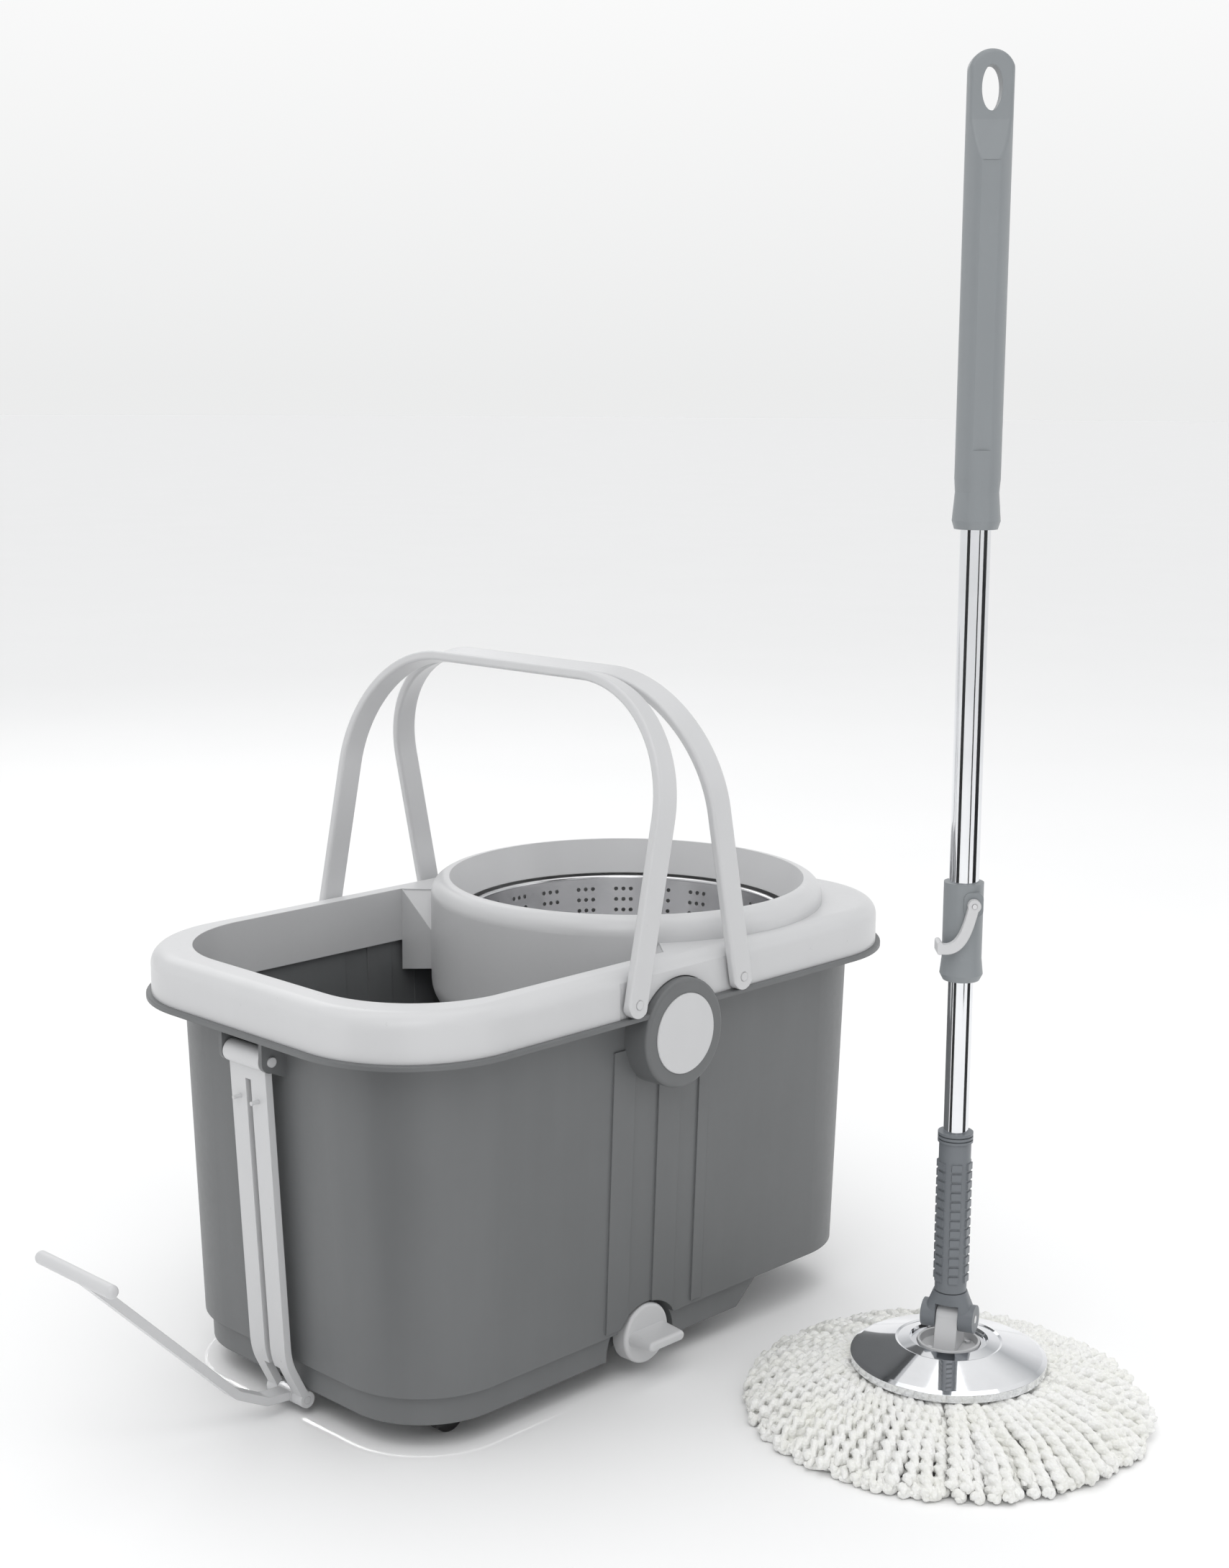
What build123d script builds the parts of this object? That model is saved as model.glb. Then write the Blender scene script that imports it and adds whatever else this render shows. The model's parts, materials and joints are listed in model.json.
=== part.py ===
"""Spin mop set in millimetres: a wheeled bucket with a wringing basket and a
hand-press mop standing in front of it. X runs along the bucket, the drag
handle is at -X, the drain and the mop are at -Y, and Z is up from the floor.
The origin is on the floor under the middle of the bucket."""

from build123d import *
import os
from math import asin, atan2, cos, degrees, hypot, radians, sin

# ---- bucket ----
flange_length = 500
flange_width = 306
flange_corner = 85
flange_thickness = 3.2
wall_top = 255              # underside of the flange
wall = 2.6
end_overhang = 21           # flange beyond the end walls
side_overhang = 17.5        # flange beyond the long walls
wall_corner = 79
end_draft = 13              # how far each end wall leans in over its height
side_draft = 8
corner_draft = 17
foot_edge = 17.6            # lower edge of the plinth
crease = 37                 # where the wall steps in to the plinth
plinth_step = 4.5
floor_under = 21
floor_thickness = 3
end_raise = 17.6            # the raised floor at the basket end
ramp_start = 80
ramp_end = 100
upstand = 9                 # rib above the flange that the cover sits over
rib_xs = (-45.5, -2.5, 31)  # vertical raised panels on the long walls
rib_widths = (20, 21, 10)
rib_proud = 1.2
rib_low = 40
rib_high = 232
beyond = 400                # reach of cutting blocks past the whole bucket

# ---- side bosses ----
boss_x = -10.6
boss_z = 240
boss_radius = 36
boss_front = 155
boss_back = 136
cap_radius = 26.5
cap_depth = 6

# ---- white cover with rim, deck, funnel and tub ----
rim_inset = 3.5             # rim's outer face inside the flange edge
rim_top = 288
rim_round = 11
cover_wall = 2.5
cover_gap = 0.6             # between the cover's skirt and the bucket wall
skirt_bottom = 250
pocket_depth = 1
pocket_margin = 10          # pocket beyond the handle pivots
wring_x = 95
tub_radius = 139.5
tub_bottom = 206
tub_round = 25
crest_z = 304
shoulder = 12
lip_top_radius = 126.3
lip_radius = 118.8
lip_bottom = 279
gusset_x = -5
gusset_foot = 228
gusset_dip = 262
gusset_dip_y = 97
deck_edge_x = 12.5           # where the deck starts behind the gussets
deck_edge_y = 109
deck_cut_y = 90
gusset_far_z = 236
gusset_foot_y = 88
drain_ring = 80
drain_hole_radius = 5
drain_holes = 8

# ---- wringing basket ----
post_radius = 12
post_top = 220
bearing_radius = 9
bearing_length = 8
spindle_radius = 5
shaft_clearance = 0.05
hub_radius = 68
hub_bottom = 223
hub_thickness = 3.5
hub_boss_radius = 26
hub_boss_height = 12
basket_rim_radius = 116.5
basket_rim_z = 276
basket_roll = 2
basket_floor_radius = 103
basket_sheet = 0.9
panel_count = 24
hole_radius = 1.5
hole_step = 2.9             # degrees between hole columns
hole_rows = (236, 244, 252, 260, 268)

# ---- carry handles ----
left_pivot_x = -55
right_pivot_x = 44
pivot_z = 267.5
band_width = 17.5
band_thickness = 6.5
band_round = 2
leg_gap = 0.6               # legs stand this far outside the rim
handle_corner = 84
crown_height = 203
handle_gap = 0.5
pin_radius = 3
pin_clearance = 0.1

# ---- drag handle ----
lug_inner = 18.6
lug_thickness = 3.2
drag_top = (-239, 241)      # upper pivot, in the X-Z plane
drag_low = (-213, 11)
drag_bend = (-227.5, 40)    # where the upper link starts to curve under
drag_barrel = 7.2
drag_eye = 5.4
drag_pin_radius = 3.2
lower_pin_radius = 2.6
link_width = 36
link_thickness = 5
slot_width = 5.3
slot_top = 226
slot_bottom = 34
eye_gap = 15.6              # width between the upper link's lower eyes
grip_eye = 15
peg_z = 213
drag_knee = ((-235, 13), (-258, 25))
drag_grip_end = (-367, 135)
drag_bar_radius = 4.2
drag_bar_length = 80
drag_shank_width = 12

# ---- drain ----
drain_x = -17
drain_z = 30
alcove_radius = 32
alcove_z = 20
alcove_depth = 108          # distance of the alcove's back wall from the middle
spout_radius = 10.5
spout_length = 8
drain_bore = 7
knob_radius = 20.5
knob_thickness = 12
knob_bar_height = 20
knob_bar_length = 36
knob_bar_width = 10
thread_clearance = 0.3
seal_thickness = 1.8

# ---- casters ----
caster_xs = (-155, 53)
caster_y = 93
wheel_radius = 12
wheel_width = 11
wheel_trail = 8
wheel_gap = 0.8
hood_wall = 2.4
pocket_radius = 24.4
pocket_roof = 32.5
stem_radius = 4
stem_top = 46
socket_radius = 7.5
socket_top = 50
axle_radius = 1.8

# ---- mop ----
mop_x = 84
mop_y = -300
fork_angle = -70            # direction of the fork pin in plan, degrees
face_angle = -135.8         # direction that the lock lever faces in plan
strand_radius = 132
strand_edge_z = 13
cover_radius = 62.5
cover_rim_z = 33
plate_radius = 57
plate_bottom = 19
hub_seat_radius = 20
hub_pin_z = 64
fork_gap = 15
fork_width = 34
fork_ear = 9
fork_pin_radius = 2.5
sleeve_bottom = 82
sleeve_top = 187
sleeve_radius = 10.7
lower_tube_radius = 7.8
lower_tube_wall = 0.8
lower_tube_top = 520
upper_tube_radius = 9.2
upper_tube_wall = 0.7
upper_tube_bottom = 302
upper_tube_top = 770
collar_bottom = 286
collar_top = 348
collar_radius = 12.3
collar_flare = 13.4
lever_pivot = (4.4, 336)
lever_thickness = 4
lever_width = 6.5
grip_bottom = 565
grip_top = 842
grip_radius = 13.8
grip_flare = 14.6
hang_hole_width = 12
hang_hole_height = 26
hang_hole_z = 820
grip_flat = 7               # half thickness of the flattened grip end
rod_width = 5.6
rod_thickness = 2.2
rod_pitch = 80
rod_bottom = 330
nut_thickness = 4
slide_gap = 0.3

os.makedirs("parts", exist_ok=True)


def save(block, name):
    """Label a finished piece and write its STEP file."""
    block.part.label = name
    export_step(block.part, f"parts/{name}.step")


# ---------------------------------------------------------------- outlines

def straight_face(plane, corners):
    """Flat face with straight sides through the corners."""
    with BuildSketch(plane) as face:
        with BuildLine():
            Polyline(*corners, close=True)
        make_face()
    return face.sketch


def wall_face(height, inset):
    """Bucket wall's outline at a height, moved inward by inset."""
    drop = (wall_top - height) / (wall_top - foot_edge)
    length = flange_length - 2 * (end_overhang + end_draft * drop + inset)
    width = flange_width - 2 * (side_overhang + side_draft * drop + inset)
    with BuildSketch(Plane.XY.offset(height)) as outline:
        RectangleRounded(length, width, wall_corner - corner_draft * drop - inset)
    return outline.sketch


def wall_block(low, high, inset):
    """Solid block inside the bucket wall, between two heights."""
    with BuildPart() as block:
        loft([wall_face(low, inset), wall_face(high, inset)])
    return block.part


def flange_block(low, high, inset, rounding):
    """Rounded rectangle with the flange's outline, its top edge rounded."""
    with BuildPart() as block:
        with BuildSketch(Plane.XY.offset(low)):
            RectangleRounded(flange_length - 2 * inset, flange_width - 2 * inset, flange_corner - inset)
        extrude(amount=high - low)
        if rounding:
            fillet(block.edges().group_by(Axis.Z)[-1], radius=rounding)
    return block.part


def side_cylinder(x, z, radius, near, far, side):
    """Cylinder along Y between two distances from the middle, on one side."""
    plane = Plane(origin=(x, side * near, z), x_dir=(1, 0, 0), z_dir=(0, side, 0))
    with BuildPart() as rod:
        with BuildSketch(plane):
            Circle(radius)
        extrude(amount=far - near)
    return rod.part


def vertical_rod(x, y, radius, low, high):
    """Upright cylinder between two heights."""
    with BuildPart() as rod:
        with BuildSketch(Plane.XY.offset(low)):
            with Locations((x, y)):
                Circle(radius)
        extrude(amount=high - low)
    return rod.part


def upright_plane(x, y):
    """Plane for turned profiles: radius along +X, height along Z."""
    return Plane(origin=(x, y, 0), x_dir=(1, 0, 0), z_dir=(0, -1, 0))


# ---------------------------------------------------------------- bucket

rim_outer_y = flange_width / 2 - rim_inset
flange_top = wall_top + flange_thickness
floor_top = floor_under + floor_thickness


def stepped_region(surface, base):
    """Side view between a height and the stepped floor's surface."""
    raised = surface + end_raise
    corners = [
        (-beyond, base),
        (-beyond, surface),
        (ramp_start, surface),
        (ramp_end, raised),
        (beyond, raised),
        (beyond, base),
    ]
    return straight_face(Plane.XZ, corners)


def bucket_hollow():
    """Space inside the bucket, down to its stepped floor."""
    with BuildPart() as hollow:
        add(wall_block(floor_under, crease, plinth_step + wall))
        add(wall_block(crease, flange_top + 2 * upstand, wall))
        extrude(stepped_region(floor_top, beyond), amount=beyond, both=True, mode=Mode.INTERSECT)
    return hollow.part


def underfloor_hollow():
    """Space under the floor, inside the plinth."""
    with BuildPart() as hollow:
        add(wall_block(0, floor_under + end_raise, plinth_step + wall))
        extrude(stepped_region(floor_under, -1), amount=beyond, both=True, mode=Mode.INTERSECT)
    return hollow.part


def rib_strips(inset, reach_low, reach_high):
    """Parts of the wall block that lie in the vertical raised panels."""
    with BuildPart() as strips:
        add(wall_block(crease, wall_top, inset))
        with BuildSketch(Plane.XZ) as bands:
            for rib_x, rib_width in zip(rib_xs, rib_widths):
                with Locations((rib_x, (reach_low + reach_high) / 2)):
                    Rectangle(rib_width, reach_high - reach_low)
        extrude(amount=beyond, both=True, mode=Mode.INTERSECT)
    return strips.part


def lug(side):
    """Ear under the flange that carries the drag handle's upper pin."""
    pin_x, pin_z = drag_top
    root_x = -flange_length / 2 + end_overhang + 3
    plane = Plane(origin=(0, side * lug_inner, 0), x_dir=(1, 0, 0), z_dir=(0, side, 0))
    flip = -1 if side > 0 else 1
    with BuildPart() as ear:
        with BuildSketch(plane):
            with BuildLine():
                Polyline(
                    (root_x, flip * wall_top),
                    (pin_x - drag_barrel, flip * wall_top),
                    (pin_x - drag_barrel, flip * pin_z),
                    (pin_x, flip * (pin_z - drag_barrel)),
                    (root_x, flip * (pin_z - drag_barrel - 6)),
                    close=True,
                )
            make_face()
        extrude(amount=lug_thickness)
        add(side_cylinder(pin_x, pin_z, drag_barrel, lug_inner, lug_inner + lug_thickness, side))
        add(side_cylinder(pin_x, pin_z, drag_pin_radius, 0, beyond, side), mode=Mode.SUBTRACT)
    return ear.part


def side_boss(side):
    """Round boss on a long wall; above the flange it stands in front of the rim."""
    with BuildPart() as boss:
        add(side_cylinder(boss_x, boss_z, boss_radius, boss_back - 10, boss_front, side))
        fillet(boss.edges().filter_by(GeomType.CIRCLE).sort_by(Axis.Y)[-1 if side > 0 else 0], radius=2.5)
        behind = side * (boss_back - 20)
        with Locations((boss_x, behind, wall_top + boss_radius)):
            Box(4 * boss_radius, 40, 2 * boss_radius, mode=Mode.SUBTRACT)
    return boss.part


def drain_alcove():
    """Walls of the arched recess round the drain, kept inside the bucket's outer wall."""
    with BuildPart() as shell:
        start = alcove_depth - wall
        add(side_cylinder(drain_x, alcove_z, alcove_radius + wall, start, flange_width / 2, -1))
        outside = wall_block(foot_edge, crease, plinth_step) + wall_block(crease, wall_top, 0)
        add(outside, mode=Mode.INTERSECT)
    return shell.part


def bucket_body():
    """Grey bucket: tapered wall, plinth, flange, bosses, lugs and caster sockets."""
    flange = flange_block(wall_top, flange_top, 0, 1)
    hollow = bucket_hollow()
    alcove = drain_alcove()
    spout_mouth = alcove_depth + spout_length
    with BuildPart() as bucket:
        add(wall_block(crease, wall_top, 0))
        add(wall_block(foot_edge, crease, plinth_step))
        add(flange)
        with BuildSketch(Plane.XY.offset(flange_top)):
            add(wall_face(wall_top, 0).moved(Location((0, 0, -wall_top))))
        extrude(amount=upstand)
        add(rib_strips(-rib_proud, rib_low, rib_high))
        for side in (-1, 1):
            add(side_boss(side))
            add(lug(side))
            recess = boss_front - cap_depth
            add(side_cylinder(boss_x, boss_z, cap_radius + 0.2, recess, beyond, side), mode=Mode.SUBTRACT)
        add(hollow, mode=Mode.SUBTRACT)
        add(rib_strips(wall - rib_proud + 0.4, rib_low, wall_top), mode=Mode.SUBTRACT)
        add(underfloor_hollow(), mode=Mode.SUBTRACT)
        add(alcove)
        add(
            side_cylinder(drain_x, alcove_z, alcove_radius, alcove_depth, beyond, -1),
            mode=Mode.SUBTRACT,
        )
        add(side_cylinder(drain_x, drain_z, spout_radius, alcove_depth, spout_mouth, -1))
        bore_start = alcove_depth - 2 * wall
        add(side_cylinder(drain_x, drain_z, drain_bore, bore_start, beyond, -1), mode=Mode.SUBTRACT)
        for caster_x in caster_xs:
            for side in (-1, 1):
                y = side * caster_y
                pocket_top = pocket_roof + floor_thickness
                add(vertical_rod(caster_x, y, pocket_radius + wall, floor_under, pocket_top))
                add(vertical_rod(caster_x, y, socket_radius, pocket_roof, socket_top))
                add(vertical_rod(caster_x, y, pocket_radius, 0, pocket_roof), mode=Mode.SUBTRACT)
                bore = stem_radius + shaft_clearance
                add(vertical_rod(caster_x, y, bore, 0, stem_top + 0.5), mode=Mode.SUBTRACT)
        raised_end = [
            (ramp_start, -1),
            (ramp_start, foot_edge),
            (ramp_end, foot_edge + end_raise),
            (beyond, foot_edge + end_raise),
            (beyond, -1),
        ]
        extrude(straight_face(Plane.XZ, raised_end), amount=beyond, both=True, mode=Mode.SUBTRACT)
    save(bucket, "bucket_body")


def boss_caps():
    """White discs in the two side bosses."""
    with BuildPart() as caps:
        for side in (-1, 1):
            add(side_cylinder(boss_x, boss_z, cap_radius, boss_front - cap_depth, boss_front + 1, side))
        fronts = caps.edges().filter_by(GeomType.CIRCLE).group_by(Axis.Y)
        fillet(fronts[0] + fronts[-1], radius=0.9)
    save(caps, "boss_caps")


# ---------------------------------------------------------------- cover

def outside_wall(inset):
    """Everything below the deck that lies further out than the bucket wall moved in by inset."""
    low = tub_bottom - 1
    with BuildPart() as outside:
        with Locations((wring_x, 0, (low + rim_top - cover_wall) / 2)):
            Box(2 * tub_radius + 10, 2 * tub_radius + 10, rim_top - cover_wall - low)
        add(wall_block(low - 1, rim_top, inset), mode=Mode.SUBTRACT)
    return outside.part


def tub_outside():
    """Funnel and tub as one turned solid, cut back beside the bucket's walls."""
    with BuildPart() as tub:
        with BuildSketch(upright_plane(wring_x, 0)):
            with BuildLine():
                base = Polyline((0, crest_z), (0, tub_bottom), (tub_radius - tub_round, tub_bottom))
                arc = CenterArc((tub_radius - tub_round, tub_bottom + tub_round), tub_round, -90, 90)
                Line(arc @ 1, (tub_radius, crest_z - shoulder))
                top = CenterArc((tub_radius - shoulder, crest_z - shoulder), shoulder, 0, 90)
                Line(top @ 1, base @ 0)
            make_face()
        revolve(axis=Axis((wring_x, 0, 0), (0, 0, 1)))
        add(outside_wall(wall + cover_gap), mode=Mode.SUBTRACT)
    return tub.part


def tub_inside():
    """Space inside the funnel and the tub."""
    inner = tub_radius - cover_wall
    tub_floor = tub_bottom + cover_wall
    with BuildPart() as space:
        with BuildSketch(upright_plane(wring_x, 0)):
            with BuildLine():
                base = Polyline((0, tub_floor), (tub_radius - tub_round, tub_floor))
                turn = tub_round - cover_wall
                arc = CenterArc((tub_radius - tub_round, tub_bottom + tub_round), turn, -90, 90)
                Line(arc @ 1, (inner, crest_z - shoulder))
                top = CenterArc((tub_radius - shoulder, crest_z - shoulder), shoulder - cover_wall, 0, 80)
                Polyline(
                    top @ 1,
                    (lip_radius + 3, lip_bottom),
                    (lip_radius, lip_bottom),
                    (lip_top_radius, crest_z - 0.2),
                    (lip_top_radius, crest_z + 5),
                    (0, crest_z + 5),
                    base @ 0,
                )
            make_face()
        revolve(axis=Axis((wring_x, 0, 0), (0, 0, 1)))
        add(outside_wall(wall + cover_gap + cover_wall), mode=Mode.SUBTRACT)
    return space.part


def gusset(side, opening_y):
    """Plate between rim and tub, with a sloping trough that runs up to the deck behind it."""
    rim_corner = Vector(gusset_x, side * opening_y, rim_top - cover_wall / 2)
    dip = Vector(gusset_x, side * gusset_dip_y, gusset_dip)
    deck_corner = Vector(deck_edge_x, side * deck_edge_y, rim_top - cover_wall / 2)
    plate = [
        (gusset_foot_y, gusset_far_z),
        (opening_y, gusset_foot),
        (opening_y, rim_top),
        (gusset_dip_y, gusset_dip),
        (gusset_foot_y, gusset_dip),
    ]
    plane = Plane(origin=(gusset_x, 0, 0), x_dir=(0, side, 0), z_dir=(side, 0, 0))
    edge = dip - rim_corner
    slope_plane = Plane(origin=rim_corner, x_dir=edge, z_dir=edge.cross(deck_corner - rim_corner))
    third = slope_plane.to_local_coords(deck_corner)
    slope = straight_face(slope_plane, [(0, 0), (edge.length, 0), (third.X, third.Y)])
    with BuildPart() as web:
        extrude(straight_face(plane, plate), amount=side * cover_wall)
        extrude(slope, amount=cover_wall + 0.5, dir=(0, 0, -1))
    return web.part


def splash_cover():
    """White moulding: hollow rim, deck, funnel with its lip, and the tub that holds the basket."""
    opening = wall + cover_gap + cover_wall
    opening_y = flange_width / 2 - side_overhang - opening
    inner_inset = rim_inset + cover_wall
    inner_rim = flange_block(flange_top - 1, rim_top - cover_wall, inner_inset, rim_round - cover_wall)
    with BuildPart() as cover:
        add(flange_block(flange_top, rim_top, rim_inset, rim_round))
        add(inner_rim, mode=Mode.SUBTRACT)
        with BuildSketch(Plane.XY.offset(skirt_bottom)):
            add(wall_face(wall_top, wall + cover_gap).moved(Location((0, 0, -wall_top))))
            add(wall_face(wall_top, opening).moved(Location((0, 0, -wall_top))), mode=Mode.SUBTRACT)
        extrude(amount=rim_top - cover_wall / 2 - skirt_bottom)
        with BuildSketch(Plane.XY.offset(skirt_bottom)):
            add(wall_face(wall_top, opening).moved(Location((0, 0, -wall_top))))
            with Locations((gusset_x + beyond, 0)):
                Rectangle(2 * beyond, 2 * beyond, mode=Mode.SUBTRACT)
            for side in (-1, 1):
                with BuildLine():
                    Polyline(
                        (gusset_x - 1, side * opening_y),
                        (gusset_x, side * opening_y),
                        (deck_edge_x, side * deck_edge_y),
                        (deck_edge_x, side * deck_cut_y),
                        (gusset_x - 1, side * deck_cut_y),
                        close=True,
                    )
                make_face()
        extrude(amount=beyond, mode=Mode.SUBTRACT)
        for side in (-1, 1):
            add(gusset(side, opening_y))
        add(tub_outside())
        add(tub_inside(), mode=Mode.SUBTRACT)
        add(vertical_rod(wring_x, 0, post_radius, tub_bottom, post_top))
        add(vertical_rod(wring_x, 0, bearing_radius, post_top - bearing_length, beyond), mode=Mode.SUBTRACT)
        with Locations((wring_x, 0, tub_bottom)):
            with PolarLocations(drain_ring, drain_holes):
                Cylinder(drain_hole_radius, 6 * cover_wall, mode=Mode.SUBTRACT)
        pocket_low = left_pivot_x - pocket_margin
        pocket_high = right_pivot_x + pocket_margin
        pocket_middle = (pocket_low + pocket_high) / 2
        for side in (-1, 1):
            boss_gap = boss_radius + 0.6
            add(side_cylinder(boss_x, boss_z, boss_gap, boss_back - 0.6, beyond, side), mode=Mode.SUBTRACT)
            pocket_y = rim_outer_y - pocket_depth + 10
            with Locations((pocket_middle, side * pocket_y, rim_top)):
                Box(pocket_high - pocket_low, 20, 4 * rim_round + 20, mode=Mode.SUBTRACT)
            for pivot_x in (left_pivot_x, right_pivot_x):
                far = rim_outer_y + 10
                add(side_cylinder(pivot_x, pivot_z, pin_radius, boss_back, far, side), mode=Mode.SUBTRACT)
    save(cover, "splash_cover")


# ---------------------------------------------------------------- wringing basket

def turned(block_name, x, y, outline):
    """Write a solid turned about the upright line through x, y."""
    with BuildPart() as block:
        revolve(straight_face(upright_plane(x, y), outline), axis=Axis((x, y, 0), (0, 0, 1)))
    save(block, block_name)


def spindle_bearing():
    """Steel bearing ring in the tub's post."""
    low = post_top - bearing_length
    inner = spindle_radius + shaft_clearance
    outline = [(inner, low), (bearing_radius, low), (bearing_radius, post_top), (inner, post_top)]
    turned("spindle_bearing", wring_x, 0, outline)


def basket_spindle():
    """Steel shaft fixed in the basket's hub, turning in the bearing."""
    low = post_top - bearing_length + 0.5
    top = hub_bottom + hub_thickness + hub_boss_height - 4
    outline = [(0, low), (spindle_radius, low), (spindle_radius, top), (0, top)]
    turned("basket_spindle", wring_x, 0, outline)


def basket_hub():
    """White plastic base of the basket with a domed boss that takes the mop's plate."""
    top = hub_bottom + hub_thickness
    bore_top = top + hub_boss_height - 4
    outline = [
        (spindle_radius, hub_bottom),
        (hub_radius, hub_bottom),
        (hub_radius, top),
        (hub_boss_radius, top),
        (hub_boss_radius - 6, top + hub_boss_height),
        (0, top + hub_boss_height),
        (0, bore_top),
        (spindle_radius, bore_top),
    ]
    turned("basket_hub", wring_x, 0, outline)


def basket():
    """Stainless basket: rolled rim, perforated wall in panels and a flat floor on the hub."""
    floor = hub_bottom + hub_thickness
    roll_x = basket_rim_radius - basket_roll
    wall_foot = floor + 6
    wall_top_radius = roll_x - 1
    with BuildPart() as shell:
        with BuildSketch(upright_plane(wring_x, 0)):
            with BuildLine():
                Polyline(
                    (hub_boss_radius + 2, floor),
                    (basket_floor_radius, floor),
                    (basket_floor_radius + 5, wall_foot),
                    (wall_top_radius, basket_rim_z),
                    (wall_top_radius - basket_sheet, basket_rim_z),
                    (basket_floor_radius + 5 - basket_sheet, wall_foot + 0.4),
                    (basket_floor_radius - 0.4, floor + basket_sheet),
                    (hub_boss_radius + 2, floor + basket_sheet),
                    close=True,
                )
            make_face()
            with Locations((roll_x, basket_rim_z)):
                Circle(basket_roll)
        revolve(axis=Axis((wring_x, 0, 0), (0, 0, 1)))
        reach = basket_floor_radius + 6
        for row_z in hole_rows:
            for column in (-1, 0, 1):
                with Locations((wring_x, 0, row_z)):
                    with PolarLocations(reach, panel_count, start_angle=column * hole_step):
                        Cylinder(hole_radius, 16, rotation=(0, 90, 0), mode=Mode.SUBTRACT)
    save(shell, "basket")


def basket_screws():
    """Three screws that hold the basket to its hub."""
    floor = hub_bottom + hub_thickness + basket_sheet
    with BuildPart() as screws:
        with Locations((wring_x, 0, floor + 0.8)):
            with PolarLocations(hub_boss_radius + 14, 3):
                Cylinder(3.4, 1.6)
    save(screws, "basket_screws")


# ---------------------------------------------------------------- carry handles

half_span = (right_pivot_x - left_pivot_x) / 2
reach_to_crown = hypot(crown_height, band_width / 2)
lean = degrees(asin((half_span - handle_gap / 2) / reach_to_crown) - atan2(band_width / 2, crown_height))


def carry_handle(name, pivot_x, toward):
    """Loop handle of flat band, leaning toward its twin; toward is the sign of that lean in X."""
    up = Vector(toward * sin(radians(lean)), 0, cos(radians(lean)))
    across = Vector(0, 1, 0).cross(up)
    pivot = Vector(pivot_x, 0, pivot_z)
    leg_y = rim_outer_y + leg_gap + band_thickness / 2
    crown = crown_height - band_thickness / 2
    foot = -band_width
    with BuildPart() as handle:
        with BuildLine(Plane(origin=pivot, x_dir=(0, 1, 0), z_dir=across)):
            corners = [(-leg_y, foot), (-leg_y, crown), (leg_y, crown), (leg_y, foot)]
            FilletPolyline(*corners, radius=handle_corner)
        with BuildSketch(Plane(origin=pivot + up * foot - Vector(0, leg_y, 0), x_dir=across, z_dir=up)):
            RectangleRounded(band_width, band_thickness, band_round)
        sweep()
        with BuildSketch(Plane(origin=pivot, x_dir=up, z_dir=(0, 1, 0))):
            Circle(band_width / 2)
            with Locations((crown_height, 0)):
                Rectangle(2 * crown_height, band_width + 2)
        extrude(amount=beyond, both=True, mode=Mode.INTERSECT)
        for side in (-1, 1):
            hole = pin_radius + pin_clearance
            add(side_cylinder(pivot_x, pivot_z, hole, boss_back, beyond, side), mode=Mode.SUBTRACT)
    save(handle, name)


def handle_pins():
    """Four pins fixed in the rim that the carry handles turn on."""
    near = rim_outer_y - pocket_depth - cover_wall - 2
    with BuildPart() as pins:
        for side in (-1, 1):
            for pivot_x in (left_pivot_x, right_pivot_x):
                far = rim_outer_y + leg_gap + band_thickness + 0.6
                add(side_cylinder(pivot_x, pivot_z, pin_radius, near, far, side))
                add(side_cylinder(pivot_x, pivot_z, pin_radius + 2, near, near + 2, side))
    save(pins, "handle_pins")


# ---------------------------------------------------------------- drag handle

def strip(path, radii, thickness, half_width):
    """Bent strip across the drag handle: a path in the X-Z plane with rounded bends."""
    with BuildPart() as band:
        with BuildSketch(Plane.XZ):
            with BuildLine():
                FilletPolyline(*path, radius=radii)
            trace(line_width=thickness)
        extrude(amount=half_width, both=True)
    return band.part


def cross_rod(centre, radius, half_length):
    """Cylinder along Y about a point of the X-Z plane."""
    with BuildPart() as rod:
        with BuildSketch(Plane.XZ):
            with Locations(centre):
                Circle(radius)
        extrude(amount=half_length, both=True)
    return rod.part


def cross_block(low, high, half_width):
    """Box across the drag handle between two corners of the X-Z plane."""
    with BuildPart() as block:
        with Locations(((low[0] + high[0]) / 2, 0, (low[1] + high[1]) / 2)):
            Box(high[0] - low[0], 2 * half_width, high[1] - low[1])
    return block.part


def drag_link_upper():
    """White slotted link that hangs against the end wall and curls under it to the lower pin."""
    pin_hole = drag_pin_radius + pin_clearance
    with BuildPart() as link:
        add(strip([drag_top, drag_bend, drag_low], 45, link_thickness, link_width / 2))
        add(cross_rod(drag_top, drag_barrel, link_width / 2))
        add(cross_rod(drag_low, drag_eye, link_width / 2))
        add(cross_block((-260, slot_bottom), (-200, slot_top), slot_width / 2), mode=Mode.SUBTRACT)
        add(cross_block((-260, 0), (-180, slot_bottom), eye_gap / 2), mode=Mode.SUBTRACT)
        with Locations((drag_top[0] + 1.5, 0, peg_z)):
            for side in (-1, 1):
                with Locations((0, side * link_width / 4, 0)):
                    Cylinder(1.4, 16, rotation=(0, 90, 0), align=(Align.CENTER, Align.CENTER, Align.CENTER))
        add(cross_rod(drag_top, pin_hole, link_width), mode=Mode.SUBTRACT)
        add(cross_rod(drag_low, lower_pin_radius, link_width), mode=Mode.SUBTRACT)
    save(link, "drag_link_upper")


def drag_pin_upper():
    """Pin through the two lugs, with a round head at each end."""
    out = lug_inner + lug_thickness
    with BuildPart() as pin:
        add(cross_rod(drag_top, drag_pin_radius - 0.02, out + 1.2))
    save(pin, "drag_pin_upper")


def drag_pin_lower():
    """Pin fixed in the upper link's lower eyes."""
    with BuildPart() as pin:
        add(cross_rod(drag_low, lower_pin_radius - 0.02, link_width / 2))
    save(pin, "drag_pin_lower")


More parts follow.
